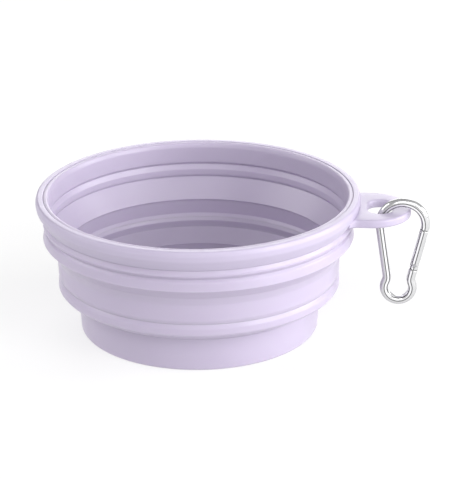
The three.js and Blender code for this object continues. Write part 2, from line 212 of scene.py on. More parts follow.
class TabSizes(bpy.types.PropertyGroup):
    """Sizes of the hanging tab."""
    width: length("Width", 32.0 * MM, "Width of the tab")
    tip: length("Tip", RIM_HIGH.x, "Distance of the tab's tip from the bowl's axis")
    thickness: length("Thickness", 3.5 * MM, "Thickness of the tab")
    drop: length("Drop", 4.1 * MM, "How far the tab's top lies below the rim's top")
    edge_round: length("Edge round", 1.0 * MM, "Radius of the tab's edges")
    root_flare: length("Root flare", 2.2 * MM, "How far the tab widens where it meets the rim")
    bar_width: length("Bar width", 7.4 * MM, "Width of the bar outside the slot")
    slot_width: length("Slot width", 9.8 * MM, "Width of the slot along the tab")
    slot_length: length("Slot length", 14.8 * MM, "Length of the slot across the tab")


class LinkSizes(bpy.types.PropertyGroup):
    """Sizes of the snap link and its gate."""
    wire_diameter: length("Wire diameter", LINK_HIGH.y - LINK_LOW.y, "Diameter of the link's wire")
    link_length: length("Length", 45.3 * MM, "Length of the link over its ends")
    arch_inner_radius: length("Arch inner radius", 7.2 * MM, "Inner radius of the large end")
    bulb_inner_radius: length("Bulb inner radius", 3.8 * MM, "Inner radius of the small end")
    hang_angle: turn_angle("Hang angle", 2.5, "How far the link hangs askew")
    neck_round: length("Neck round", 4.5 * MM, "Radius of the bend between the arm and the bulb")
    gate_foot: length("Gate foot", 1.9 * MM, "Length of the gate below its rivet")
    slot_gap: length("Slot gap", 1.5 * MM, "Width of the slots in the gate's ends")
    tongue: length("Tongue", 1.1 * MM, "Thickness of the tongues in those slots")
    rivet_diameter: length("Rivet diameter", 1.2 * MM, "Diameter of the gate rivet")
    spring_wire: length("Spring wire", 0.25 * MM, "Diameter of the spring's wire")
    spring_turns: IntProperty(name="Spring turns", description="Turns of the gate spring", default=9, min=2)


class Finishes(bpy.types.PropertyGroup):
    """Colours and sheen of the finishes."""
    soft: tint("Soft bowl", (0.424, 0.378, 0.491), "Colour of the soft moulding")
    soft_roughness: fraction("Soft roughness", 0.36, "Roughness of the soft moulding")
    soft_scatter: fraction("Soft scatter", 0.4, "Share of light that passes into the soft moulding")
    soft_grain: fraction("Soft grain", 0.06, "Strength of the soft moulding's grain")
    frame: tint("Rim frame", (0.433, 0.388, 0.508), "Colour of the stiff rim frame")
    frame_roughness: fraction("Frame roughness", 0.36, "Roughness of the rim frame")
    frame_scatter: fraction("Frame scatter", 0.05, "Share of light that passes into the rim frame")
    frame_grain: fraction("Frame grain", 0.04, "Strength of the rim frame's grain")
    metal: tint("Link metal", (0.92, 0.92, 0.93), "Colour of the polished link")
    link_roughness: fraction("Link roughness", 0.13, "Roughness of the polished link")
    gate_roughness: fraction("Gate roughness", 0.12, "Roughness of the polished gate")
    steel: tint("Spring steel", (0.45, 0.45, 0.47), "Colour of the spring, rivet and pins")
    steel_roughness: fraction("Steel roughness", 0.3, "Roughness of the spring, rivet and pins")
    floor: tint("Floor", (0.3, 0.3, 0.3), "Colour of the pale floor")


class Studio(bpy.types.PropertyGroup):
    """The photograph's camera and the soft light."""
    distance: length("Camera distance", 0.9, "Distance from the camera to the bowl")
    azimuth: turn_angle("Azimuth", 6.3, "Camera's turn round the bowl")
    roll: turn_angle("Roll", -0.4, "Camera's tilt to one side")
    elevation: turn_angle("Elevation", 22.16, "Camera's height angle")
    focal_pixels: plain_number("Focal length", 2224.5, "Focal length in pixels")
    bowl_x: plain_number("Bowl x", 198.7, "Picture column of the bowl's middle")
    bowl_y: plain_number("Bowl y", 256.2, "Picture row of the bowl's middle")
    bowl_height: length("Middle height", 28.4 * MM, "Height of the point that the picture place names")
    key_power: light_power("Key power", 6.1, "Power of the key light")
    low_power: light_power("Low key power", 8.9, "Power of the low light beside the key")
    right_power: light_power("Right power", 11.9, "Power of the light on the right")
    left_power: light_power("Left power", 10.3, "Power of the light on the left")
    back_power: light_power("Back power", 9.1, "Power of the light behind")
    front_power: light_power("Front power", 7.9, "Power of the light in front")
    sky: plain_number("Sky", 0.287, "Strength of the even light all round")
    glow: plain_number("Glow", 0.625, "Light that the floor itself gives, like a light table")


# Mesh helpers

def new_object(name, data):
    """Links a mesh, light or camera into the scene as an object."""
    made = bpy.data.objects.new(name, data)
    bpy.context.scene.collection.objects.link(made)
    return made


def bmesh_object(name, shape):
    """Turns a bmesh into an object."""
    bmesh.ops.recalc_face_normals(shape, faces=shape.faces)
    mesh = bpy.data.meshes.new(name)
    shape.to_mesh(mesh)
    shape.free()
    return new_object(name, mesh)


def smooth(piece, angle):
    """Smooth shading, with edges sharper than the angle in degrees kept crisp."""
    piece.data.shade_smooth()
    piece.data.set_sharp_from_angle(angle=math.radians(angle))


def rounded(corners, closed=True, step=12.0, longest=1.2 * MM, most=0.48):
    """Points along an outline whose corners (x, y, radius) are rounded.

    An arc is divided into steps of at most so many degrees and takes at most a share of the sides beside it.
    Straights are divided into parts no longer than the longest.
    """
    count = len(corners)
    outline = []
    for i, (x, y, radius) in enumerate(corners):
        here = Vector((x, y))
        is_end = not closed and i in (0, count - 1)
        if radius <= 0 or is_end:
            outline.append(here)
            continue
        before = Vector(corners[i - 1][:2]) - here
        after = Vector(corners[(i + 1) % count][:2]) - here
        opening = before.angle(after)
        reach = min(radius / math.tan(opening / 2), most * before.length, most * after.length)
        fitted = reach * math.tan(opening / 2)
        inward = (before.normalized() + after.normalized()).normalized()
        centre = here + inward * (fitted / math.sin(opening / 2))
        start = here + before.normalized() * reach - centre
        turn = start.angle_signed(here + after.normalized() * reach - centre)
        steps = max(2, math.ceil(abs(math.degrees(turn)) / step))
        for k in range(steps + 1):
            outline.append(centre + Matrix.Rotation(-turn * k / steps, 2) @ start)
    divided = []
    pairs = list(zip(outline, outline[1:] + outline[:1]))
    for a, b in pairs if closed else pairs[:-1]:
        parts = max(1, math.ceil((b - a).length / longest))
        divided.extend(a.lerp(b, k / parts) for k in range(parts))
    return divided if closed else divided + [outline[-1]]


def round_turn(count):
    """Angles that divide a full turn."""
    return [2 * math.pi * k / count for k in range(count)]


def join_rings(shape, rings, sides):
    """Faces between neighbouring rings of points; a ring may also be a single point."""
    for low, high in zip(rings, rings[1:]):
        for k in range(sides):
            n = (k + 1) % sides
            corners = (low[k % len(low)], low[n % len(low)], high[n % len(high)], high[k % len(high)])
            shape.faces.new(list(dict.fromkeys(corners)))


def turned(name, profile, segments, closed=True):
    """Turns a profile about Z. An open profile starts and ends on the axis."""
    shape = bmesh.new()
    rings = []
    for radius, height in profile:
        if radius < 0.001 * MM:
            rings.append([shape.verts.new((0, 0, height))])
            continue
        ring = [(radius * math.cos(a), radius * math.sin(a), height) for a in round_turn(segments)]
        rings.append([shape.verts.new(point) for point in ring])
    join_rings(shape, rings + rings[:1] if closed else rings, segments)
    return bmesh_object(name, shape)


def round_bar(name, radius, low, high, segments):
    """A plain round bar along Z."""
    return turned(name, [(0, low), (radius, low), (radius, high), (0, high)], segments, closed=False)


def swept(name, points, radius, sides):
    """Round bar along points in a plane of constant Y, with flat ends."""
    shape = bmesh.new()
    rings = []
    last = len(points) - 1
    for i, centre in enumerate(points):
        along = points[min(i + 1, last)] - points[max(i - 1, 0)]
        side = ACROSS.cross(along.normalized())
        ring = [centre + radius * (math.cos(a) * side + math.sin(a) * ACROSS) for a in round_turn(sides)]
        rings.append([shape.verts.new(point) for point in ring])
    join_rings(shape, rings, sides)
    shape.faces.new(rings[0])
    shape.faces.new(rings[-1])
    return bmesh_object(name, shape)


def block(name, size, centre):
    """A box of the given size about a centre."""
    shape = bmesh.new()
    place = Matrix.Translation(centre) @ Matrix.Diagonal((*size, 1.0))
    bmesh.ops.create_cube(shape, size=1.0, matrix=place)
    return bmesh_object(name, shape)


def apply_modifiers(piece):
    """Bakes the modifiers of a piece into its mesh."""
    baked = bpy.data.meshes.new_from_object(piece.evaluated_get(bpy.context.evaluated_depsgraph_get()))
    piece.modifiers.clear()
    old = piece.data
    piece.data = baked
    bpy.data.meshes.remove(old)


def combine(piece, tool, operation):
    """Joins a tool shape to a piece, or cuts it out, and removes the tool."""
    modifier = piece.modifiers.new("combine", "BOOLEAN")
    modifier.operation = operation
    modifier.solver = "EXACT"
    modifier.object = tool
    apply_modifiers(piece)
    bpy.data.objects.remove(tool)


def soften(piece, width, angle, segments):
    """Rounds the edges of a piece that are sharper than the angle in degrees."""
    modifier = piece.modifiers.new("soften", "BEVEL")
    modifier.width = width
    modifier.segments = segments
    modifier.limit_method = "ANGLE"
    modifier.angle_limit = math.radians(angle)
    apply_modifiers(piece)


def paint(piece, material):
    """Gives a piece one material."""
    piece.data.materials.clear()
    piece.data.materials.append(material)


def finish_piece(piece, material, slot, *nodes):
    """Gives a piece its material and hides the solids that it stands for; the slot is not used."""
    paint(piece, material)
    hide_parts(*nodes)


# Materials

def new_material(name):
    """A node material; returns it with its nodes, links and shader."""
    material = bpy.data.materials.new(name)
    material.use_nodes = True
    tree = material.node_tree
    return material, tree.nodes, tree.links, tree.nodes["Principled BSDF"]


def set_inputs(node, values):
    """Sets inputs of a node from a table of their names and values."""
    for name, value in values.items():
        node.inputs[name].default_value = value


def noise(nodes, links, scale, detail=3.0, roughness=0.5):
    """Noise in object space; the scale is in cells per metre."""
    place = nodes.new("ShaderNodeTexCoord")
    texture = nodes.new("ShaderNodeTexNoise")
    set_inputs(texture, {"Scale": scale, "Detail": detail, "Roughness": roughness})
    links.new(place.outputs["Object"], texture.inputs["Vector"])
    return texture.outputs["Fac"]


def ramp(nodes, links, source, low, high):
    """Maps the middle part of a noise onto a range of values."""
    mapped = nodes.new("ShaderNodeMapRange")
    set_inputs(mapped, {"From Min": NOISE_LOW, "From Max": NOISE_HIGH, "To Min": low, "To Max": high})
    links.new(source, mapped.inputs["Value"])
    return mapped.outputs["Result"]


def blotch(nodes, links, source, colour, spread):
    """A colour that drifts lighter and darker by a share of itself."""
    mix = nodes.new("ShaderNodeMix")
    mix.data_type = "RGBA"
    mix.inputs["A"].default_value = (*(c * (1 - spread) for c in colour), 1.0)
    mix.inputs["B"].default_value = (*(min(1.0, c * (1 + spread)) for c in colour), 1.0)
    links.new(source, mix.inputs["Factor"])
    return mix.outputs["Result"]


def grain_bump(nodes, links, height, strength, distance):
    """A bump from a height source; the distance is in metres."""
    bump = nodes.new("ShaderNodeBump")
    set_inputs(bump, {"Strength": strength, "Distance": distance})
    links.new(height, bump.inputs["Height"])
    return bump.outputs["Normal"]


def moulded_finish(name, colour, roughness, scatter, grain):
    """Satin moulded surface: faint colour drift, uneven sheen and a fine moulded grain."""
    material, nodes, links, shader = new_material(name)
    drift = noise(nodes, links, scale=45.0)
    links.new(blotch(nodes, links, drift, colour, spread=0.018), shader.inputs["Base Color"])
    cloud = noise(nodes, links, scale=220.0, detail=4.0)
    sheen = ramp(nodes, links, cloud, roughness - SHEEN_SPREAD, roughness + SHEEN_SPREAD)
    links.new(sheen, shader.inputs["Roughness"])
    pits = noise(nodes, links, scale=2600.0, detail=2.0, roughness=0.6)
    links.new(grain_bump(nodes, links, pits, grain, distance=0.05 * MM), shader.inputs["Normal"])
    set_inputs(shader, {
        "IOR": 1.43,
        "Specular IOR Level": 0.5,
        "Subsurface Weight": scatter,
        "Subsurface Radius": (1.0, 0.8, 1.0),
        "Subsurface Scale": 2.5 * MM,
    })
    return material


def metal_wear(nodes, links, shader, roughness):
    """Faint haze and scuffs on a metal."""
    haze = noise(nodes, links, scale=350.0, detail=4.0)
    sheen = ramp(nodes, links, haze, low=roughness * 0.7, high=roughness * 1.5)
    links.new(sheen, shader.inputs["Roughness"])
    scuffs = noise(nodes, links, scale=1800.0, detail=2.0)
    links.new(grain_bump(nodes, links, scuffs, strength=0.04, distance=0.02 * MM), shader.inputs["Normal"])


def steel_finish(name, colour, roughness):
    """Plain drawn steel with a faint colour drift."""
    material, nodes, links, shader = new_material(name)
    metal_wear(nodes, links, shader, roughness)
    drift = noise(nodes, links, scale=900.0)
    links.new(blotch(nodes, links, drift, colour, spread=0.08), shader.inputs["Base Color"])
    set_inputs(shader, {"Metallic": 1.0})
    return material


def inward_facing(nodes, links, top, low):
    """How far a wire's surface faces the middle line between two points, 0 outwards and 1 inwards; it places
    the painted reflections of the polished wire.
    """
    place = nodes.new("ShaderNodeTexCoord")
    run = low - top

    def vector_step(operation, *values):
        node = nodes.new("ShaderNodeVectorMath")
        node.operation = operation
        for socket, value in zip(node.inputs, values):
            if isinstance(value, bpy.types.NodeSocket):
                links.new(value, socket)
            else:
                socket.default_value = value
        return node

    from_top = vector_step("SUBTRACT", place.outputs["Object"], top).outputs["Vector"]
    way_down = vector_step("DOT_PRODUCT", from_top, run / run.length_squared).outputs["Value"]
    held = nodes.new("ShaderNodeClamp")
    links.new(way_down, held.inputs["Value"])
    foot = vector_step("SCALE", run)
    links.new(held.outputs["Result"], foot.inputs["Scale"])
    inward = vector_step("SUBTRACT", foot.outputs["Vector"], from_top).outputs["Vector"]
    level = vector_step("MULTIPLY", inward, (1, 0, 1)).outputs["Vector"]
    unit = vector_step("NORMALIZE", level).outputs["Vector"]
    facing = vector_step("DOT_PRODUCT", unit, place.outputs["Normal"]).outputs["Value"]
    mapped = nodes.new("ShaderNodeMapRange")
    set_inputs(mapped, {"From Min": -1.0, "From Max": 1.0})
    links.new(facing, mapped.inputs["Value"])
    return mapped.outputs["Result"]


def polished_finish(name, colour, roughness, link):
    """Polished wire with painted reflections: two dark painted reflection lines along its inner side and a
    pale painted outer side.
    """
    material, nodes, links, shader = new_material(name)
    metal_wear(nodes, links, shader, roughness)
    # The metal's colour is darkened and lightened here as painted reflection, by how far the surface faces
    # the link's middle line
    lines = nodes.new("ShaderNodeValToRGB")
    stops = lines.color_ramp.elements
    while len(stops) < len(WIRE_PAINTED_REFLECTIONS):
        stops.new(position=0.5)
    for stop, (position, shade) in zip(stops, WIRE_PAINTED_REFLECTIONS):
        stop.position = position
        stop.color = (*(c * shade for c in colour), 1.0)
    links.new(inward_facing(nodes, links, ARCH_CENTRE, bulb_centre(link)), lines.inputs["Fac"])
    links.new(lines.outputs["Color"], shader.inputs["Base Color"])
    set_inputs(shader, {"Metallic": 0.65})
    return material


def floor_finish(name, colour, glow):
    """Plain pale floor, lit from beneath, with a faint unevenness."""
    material, nodes, links, shader = new_material(name)
    drift = noise(nodes, links, scale=3.0)
    links.new(blotch(nodes, links, drift, colour, spread=0.004), shader.inputs["Base Color"])
    set_inputs(shader, {"Roughness": 0.9, "Emission Color": (1, 1, 1, 1), "Emission Strength": glow})
    return material


# Soft bowl

def fold_crease(sizes):
    """Height of the crease where the two soft mouldings meet."""
    return sizes.lower_step + CREASE_RISE


def upper_profile(sizes):
    """Section of the lip, upper band, upper web and upper part of the middle band.

    Its corners (radius, height, rounding) run up the outside, over the lip and down the inside.
    """
    crease = sizes.crease
    wall = sizes.soft_wall
    outer = sizes.rim_radius - sizes.rim_thickness - sizes.seam
    inner = outer - sizes.lip_thickness
    band = sizes.band_radius
    step = sizes.upper_step
    shoulder = sizes.rim_foot - sizes.seam
    middle = sizes.middle_radius
    top = sizes.middle_top
    fold = fold_crease(sizes)
    return [
        # Crease, middle band and upper web
        (middle - crease + 0.3 * MM, fold, 0),
        (middle - 0.1 * MM, fold + 1.7 * MM, 1.3 * MM),
        (middle + 0.1 * MM, top, 3.0 * MM),
        (band - 4.2 * MM, step - 4.7 * MM, 3.0 * MM),
        # Upper step, groove and ridge of the upper band
        (band - 0.05 * MM, step - 0.35 * MM, 0.2 * MM),
        (band - 0.75 * MM, step + 3.0 * MM, 1.2 * MM),
        (band - crease - 0.6 * MM, step + 4.0 * MM, 0.9 * MM),
        (band - 0.2 * MM, step + 5.5 * MM, 0.6 * MM),
        (band - 0.15 * MM, shoulder - 1.75 * MM, 0.6 * MM),
        # Lip inside the rim frame, with its rounded bead
        (outer - 0.25 * MM, shoulder - 0.3 * MM, 0.3 * MM),
        (outer, shoulder + 0.3 * MM, 0.2 * MM),
        (outer, sizes.rim_top - 0.3 * MM, 0.15 * MM),
        (inner + 0.4 * MM, sizes.rim_top, 1.2 * MM),
        (inner - 0.3 * MM, sizes.rim_top - 2.0 * MM, 2.5 * MM),
        (inner - 0.3 * MM, shoulder - 0.1 * MM, 0.7 * MM),
        # Grooves and ridge inside the upper band
        (inner + 0.55 * MM, shoulder - 1.1 * MM, 0.5 * MM),
        (inner - 0.5 * MM, step + 4.9 * MM, 1.2 * MM),
        (inner - 0.5 * MM, step + 2.5 * MM, 0.6 * MM),
        (inner + 0.2 * MM, step + 1.5 * MM, 0.4 * MM),
        (inner - 0.6 * MM, step + 0.5 * MM, 0.5 * MM),
        # Foot of the web and inner side of the middle band
        (middle - wall - 0.1 * MM, top + 1.3 * MM, 0.2 * MM),
        (middle - wall + 0.4 * MM, top + 0.4 * MM, 0.3 * MM),
        (middle - wall + 0.95 * MM, fold + 3.2 * MM, 0.5 * MM),
        (middle - wall - 0.05 * MM, fold + 1.85 * MM, 0),
    ]


def lower_profile(sizes):
    """Section of the lower part of the middle band, lower web and cup.

    Its corners (radius, height, rounding) run from the middle of the underside up the outside to the fold
    crease, and down the inside to the middle of the floor.
    """
    crease = sizes.crease
    wall = sizes.soft_wall
    middle = sizes.middle_radius
    step = sizes.lower_step
    cup = sizes.cup_radius
    foot = cup - sizes.cup_draft
    fold = fold_crease(sizes)
    return [
        # Underside and cup
        (0, 0, 0),
        (foot, 0, 1.2 * MM),
        (cup, sizes.cup_top + 0.3 * MM, 0.9 * MM),
        # Lower step, middle band and crease
        (middle - 0.9 * MM, step - 0.4 * MM, 0.8 * MM),
        (middle, step + 0.8 * MM, 0.3 * MM),
        (middle - 0.1 * MM, fold - 1.7 * MM, 1.3 * MM),
        (middle - crease + 0.3 * MM, fold - 0.05 * MM, 0),
        # Ridge inside the middle band
        (middle - wall - 0.05 * MM, fold + 1.8 * MM, 0),
        (middle - wall - 0.75 * MM, fold + 0.3 * MM, 0.9 * MM),
        (middle - wall - 0.2 * MM, fold - 1.9 * MM, 0.6 * MM),
        (middle - wall - 0.15 * MM, fold - 2.7 * MM, 0.3 * MM),
        # Inner side of the web, and floor
        (middle - wall - 0.6 * MM, step + 2.0 * MM, 0.4 * MM),
        (cup - wall + 0.15 * MM, sizes.cup_top + 2.35 * MM, 0.2 * MM),
        (cup - wall + 0.3 * MM, sizes.cup_top + 1.8 * MM, 0.3 * MM),
        (foot - wall, sizes.floor_thickness, 3.0 * MM),
        (0, sizes.floor_thickness, 0),
    ]


class PETBOWL_OT_soft_bowl(bpy.types.Operator):
    """Make the soft accordion bowl in two mouldings that meet at the fold crease"""
    bl_idname = "petbowl.soft_bowl"
    bl_label = "Soft Bowl"

    def execute(self, context):
        sizes = context.scene.petbowl_sizes
        finishes = context.scene.petbowl_finishes
        finish = moulded_finish("satin_silicone", finishes.soft, finishes.soft_roughness,
                                finishes.soft_scatter, finishes.soft_grain)
        upper = turned("soft_bowl_upper", rounded(upper_profile(sizes)), sizes.segments)
        smooth(upper, angle=60.0)
        finish_piece(upper, finish, "soft_bowl", "rim_wall", "upper_fold", "middle_band")
        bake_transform(upper)
        outline = rounded(lower_profile(sizes), closed=False)
        lower = turned("soft_bowl_lower", outline, sizes.segments, closed=False)
        smooth(lower, angle=60.0)
        finish_piece(lower, finish, "soft_bowl", "lower_fold", "base_cup")
        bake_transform(lower)
        return {"FINISHED"}


# Rim frame and tab

def frame_profile(sizes):
    """Section of the rim frame's ring: corners (radius, height, rounding) from its foot over its top."""
    inner = sizes.rim_radius - sizes.rim_thickness
    top = sizes.rim_top
    return [
        (inner, sizes.rim_foot, 0),
        (inner + 0.15 * MM, sizes.rim_foot, 0.1 * MM),
        (sizes.rim_radius - sizes.rim_taper + 0.3 * MM, sizes.rim_foot + 1.2 * MM, 0.9 * MM),
        (sizes.rim_radius - 0.25 * MM, sizes.rim_foot + 4.2 * MM, 3.0 * MM),
        (sizes.rim_radius + 0.05 * MM, top - 1.9 * MM, 1.6 * MM),
        (sizes.rim_radius - 0.55 * MM, top, 0.9 * MM),
        (inner, top, 0.4 * MM),
    ]


def edge_point(start, ray, inside, farthest=40.0 * MM, halvings=30):
    """Where a ray that starts inside a shape leaves it, found by halving."""
    low, high = 0.0, farthest
    for _ in range(halvings):
        middle = (low + high) / 2
        if inside(start + ray * middle):
            low = middle
        else:
            high = middle
    return start + ray * low


def inside_tab(point, sizes, tab, inset):
    """Whether a point lies inside the tab's edge, which flares where it meets the rim's skirt."""
    half = tab.width / 2
    end = tab.tip - half
    out = point.length - sizes.rim_radius + FLARE_INSET
    if point.length < sizes.rim_radius - sizes.rim_thickness + ROOT_COVER:
        return False
    if point.x > end:
        return math.hypot(point.x - end, point.y) < half - inset
    if out > tab.root_flare:
        return abs(point.y) < half - inset
    rise = tab.root_flare - max(out, 0.0)
    return abs(point.y) < half + tab.root_flare - math.sqrt((tab.root_flare + inset) ** 2 - rise ** 2)


def inside_slot(point, tab, inset):
    """Whether a point lies inside the slot, which opens out by the inset at its rounded edges."""
    across = point.x - tab.tip + tab.bar_width + tab.slot_width / 2
    along = max(abs(point.y) - (tab.slot_length - tab.slot_width) / 2, 0.0)
    return math.hypot(across, along) < tab.slot_width / 2 + inset


def tab_levels(sizes, tab, steps=5):
    """Heights up the tab's side, each with how far the rounded edge draws in there."""
    top = sizes.rim_top - tab.drop
    low = top - tab.thickness
    radius = tab.edge_round
    angles = [math.pi / 2 * k / steps for k in range(steps + 1)]
    lower = [(low + radius * (1 - math.sin(a)), radius * (1 - math.cos(a))) for a in reversed(angles)]
    upper = [(top - radius * (1 - math.sin(a)), radius * (1 - math.cos(a))) for a in angles]
    return lower + upper


def tab_object(sizes, tab, count=192):
    """The tab with its slot and rounded edges, as rings of points on rays from the slot's middle."""
    start = Vector((tab.tip - tab.bar_width - tab.slot_width / 2, 0))
    rays = [Vector((math.cos(a), math.sin(a))) for a in round_turn(count)]
    shape = bmesh.new()
    outside, hole = [], []
    for height, inset in tab_levels(sizes, tab):
        edge = [edge_point(start, ray, lambda p: inside_tab(p, sizes, tab, inset)) for ray in rays]
        slot = [edge_point(start, ray, lambda p: inside_slot(p, tab, inset)) for ray in rays]
        outside.append([shape.verts.new((p.x, p.y, height)) for p in edge])
        hole.append([shape.verts.new((p.x, p.y, height)) for p in slot])
    rings = outside + hole[::-1]
    join_rings(shape, rings + rings[:1], count)
    return bmesh_object("hanging_tab", shape)


class PETBOWL_OT_rim_frame(bpy.types.Operator):
    """Make the stiff rim frame with its hanging tab"""
    bl_idname = "petbowl.rim_frame"
    bl_label = "Rim Frame"

    def execute(self, context):
        sizes = context.scene.petbowl_sizes
        finishes = context.scene.petbowl_finishes
        outline = rounded(frame_profile(sizes), longest=2.0 * MM)
        ring = turned("rim_frame_moulding", outline, sizes.segments)
        combine(ring, tab_object(sizes, context.scene.petbowl_tab), "UNION")
        smooth(ring, angle=35.0)
        finish = moulded_finish("satin_rim_plastic", finishes.frame, finishes.frame_roughness,
                                finishes.frame_scatter, finishes.frame_grain)
        finish_piece(ring, finish, "rim_plastic", "rim_frame")
        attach(ring, "rim")
        return {"FINISHED"}


# Snap link

def gate_place():
    """Matrix of the gate's own frame: the rivet at its origin and Z towards the nose."""
    side = ACROSS.cross(GATE_AXIS).normalized()
    turn = Matrix((side, ACROSS, GATE_AXIS)).transposed().to_4x4()
    return Matrix.Translation(RIVET_POINT) @ turn


def gate_ends(name):
    """Lowest and highest place of a node along the gate's axis, from the rivet."""
    mesh = frame["nodes"][name].data
    places = [(vertex.co - RIVET_POINT).dot(GATE_AXIS) for vertex in mesh.vertices]
    return min(places), max(places)


def link_drop(link):
    """Distance between the middles of the link's two round ends."""
    return link.link_length - link.arch_inner_radius - link.bulb_inner_radius - 2 * link.wire_diameter


def bulb_centre(link):
    """Middle of the link's small end."""
    return ARCH_CENTRE + Matrix.Rotation(link.hang_angle, 3, "Y") @ Vector((0, 0, -link_drop(link)))


def arc_steps(first, turn, steps):
    """Angles along an arc, without its first."""
    return [first + turn * k / steps for k in range(1, steps + 1)]


def link_path(link, arch_steps=48, arm_steps=12, neck_steps=8, bulb_steps=24, least_step=0.2 * MM):
    """Centre line of the link from its nose over the arch, down the inner arm, round the bulb to the gate.

    It is worked out plumb, with the arch's middle at the origin, and then hung askew. The outer arm, neck and
    half of the bulb come first, and the inner side is their mirror image.
    """
    wire = link.wire_diameter / 2
    arch = link.arch_inner_radius + wire
    bulb = link.bulb_inner_radius + wire
    bend = link.neck_round
    hang = Matrix.Rotation(link.hang_angle, 3, "Y")
    lean = math.atan2(GATE_AXIS.x, GATE_AXIS.z) - link.hang_angle
    run = Vector((-math.sin(lean), 0, -math.cos(lean)))
    out = Vector((math.cos(lean), 0, -math.sin(lean)))
    corner = out * arch
    bulb_middle = Vector((0, 0, -link_drop(link)))
    # The arm runs straight until the neck's arc meets the bulb's circle
    across = corner + out * bend - bulb_middle
    half = across.dot(run)
    straight = -half - math.sqrt(half ** 2 - across.length_squared + (bulb + bend) ** 2)
    bend_middle = corner + run * straight + out * bend
    to_bulb = (bulb_middle - bend_middle).normalized()
    bend_turn = (-out).angle(to_bulb)
    start = math.atan2(-to_bulb.z, -to_bulb.x)
    arm = [corner + run * (straight * k / arm_steps) for k in range(1, arm_steps + 1)]
    neck = []
    for angle in arc_steps(0.0, bend_turn, neck_steps):
        neck.append(bend_middle - bend * (math.cos(angle) * out - math.sin(angle) * run))
    end = []
    for angle in arc_steps(start, -(math.pi / 2 + start), bulb_steps):
        end.append(bulb_middle + bulb * Vector((math.cos(angle), 0, math.sin(angle))))
    points = [corner]
    for angle in arc_steps(-lean, math.pi + 2 * lean, arch_steps):
        points.append(arch * Vector((math.cos(angle), 0, math.sin(angle))))
    points += [Vector((-p.x, 0, p.z)) for p in arm + neck + end]
    # The outer arm ends in a stub below the gate's foot
    rivet = hang.inverted() @ (RIVET_POINT - ARCH_CENTRE)
    stub = (rivet - corner).dot(run) + link.gate_foot + GATE_SEAM
    points += (neck + end)[-2::-1]
    points += [p for p in arm[::-1] if (p - corner).dot(run) > stub + least_step]
    points.append(corner + run * stub)
    return [ARCH_CENTRE + hang @ p for p in points]


def link_tongues(link):
    """The nose tongue and the round hinge tongue, in place."""
    top = gate_ends("link_gate")[1]
    nose = block("nose_tongue", (NOSE_DEPTH, link.tongue, NOSE_REACH + NOSE_ROOT),
                 (NOSE_SHIFT + NOSE_DEPTH / 2, 0, top - NOSE_REACH / 2 + NOSE_ROOT / 2))
    soften(nose, width=0.12 * MM, angle=50.0, segments=2)
    hinge = round_bar("hinge_tongue", HINGE_RADIUS, -link.tongue / 2, link.tongue / 2, segments=32)
    hinge.data.transform(TURN_ACROSS)
    root_length = link.gate_foot + HINGE_ROOT
    root = block("tongue_root", (2 * HINGE_RADIUS, link.tongue, root_length), (0, 0, -root_length / 2))
    combine(hinge, root, "UNION")
    for tongue in (nose, hinge):
        tongue.data.transform(gate_place())
    return nose, hinge


class PETBOWL_OT_link_frame(bpy.types.Operator):
    """Make the polished gourd-shaped link with its nose and hinge tongues"""
    bl_idname = "petbowl.link_frame"
    bl_label = "Link Frame"

    def execute(self, context):
        link = context.scene.petbowl_link
        finishes = context.scene.petbowl_finishes
        piece = swept("link_wire", link_path(link), link.wire_diameter / 2, sides=32)
        soften(piece, width=0.25 * MM, angle=60.0, segments=3)
        for tongue in link_tongues(link):
            combine(piece, tongue, "UNION")
        smooth(piece, angle=40.0)
        finish = polished_finish("polished_link", finishes.metal, finishes.link_roughness, link)
        finish_piece(piece, finish, "link_metal", "link_frame")
        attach(piece, "link")
        return {"FINISHED"}


def gate_object(link):
    """The gate arm: a collared round bar with a slot at each end, a bore and a rounded heel."""
    wire = link.wire_diameter / 2
    foot = -link.gate_foot
    top = gate_ends("link_gate")[1]
    profile = [
        (0, foot, 0),
        (wire + COLLAR_RISE, foot, 0.25 * MM),
        (wire + COLLAR_RISE, foot + COLLAR_LENGTH, 0.2 * MM),
        (wire, foot + COLLAR_END, 0.3 * MM),
        (wire, top, 0.3 * MM),
        (0, top, 0),
    ]
    gate = turned("gate_arm", rounded(profile, closed=False), segments=40, closed=False)
    # The shapes that are cut away reach well past the bar
    far = 4 * wire
    nose_foot = top - NOSE_SLOT
    for low, high in ((-far, HINGE_SLOT), (nose_foot, top + far)):
        slot = block("slot", (far, link.slot_gap, high - low), (0, 0, (low + high) / 2))
        combine(gate, slot, "DIFFERENCE")
    bore = round_bar("bore", BORE_RADIUS, 0, nose_foot - BORE_COVER, segments=24)
    combine(gate, bore, "DIFFERENCE")
    corner = block("foot_corner", (far, far, far), (-far / 2, 0, -far / 2))
    heel = round_bar("heel", link.gate_foot, -far, far, segments=48)
    heel.data.transform(TURN_ACROSS)
    combine(corner, heel, "DIFFERENCE")
    combine(gate, corner, "DIFFERENCE")
    gate.data.transform(gate_place())
    smooth(gate, angle=35.0)
    return gate


def rivet_object(link):
    """Rivet with a low domed head on each side of the gate."""
    wire = link.wire_diameter / 2
    shank = link.rivet_diameter / 2
    head = shank + HEAD_OVERHANG
    seat = wire - HEAD_SINK
    half = [
        (shank, seat, 0.05 * MM),
        (head, seat, 0.05 * MM),
        (head, seat + HEAD_EDGE, 0.2 * MM),
        (0, wire + HEAD_RISE, 0),
    ]
    profile = [(radius, -height, corner) for radius, height, corner in reversed(half)] + half
    rivet = turned("gate_rivet_domed", rounded(profile, closed=False), segments=24, closed=False)
    rivet.data.transform(gate_place() @ TURN_ACROSS)
    smooth(rivet, angle=45.0)
    return rivet


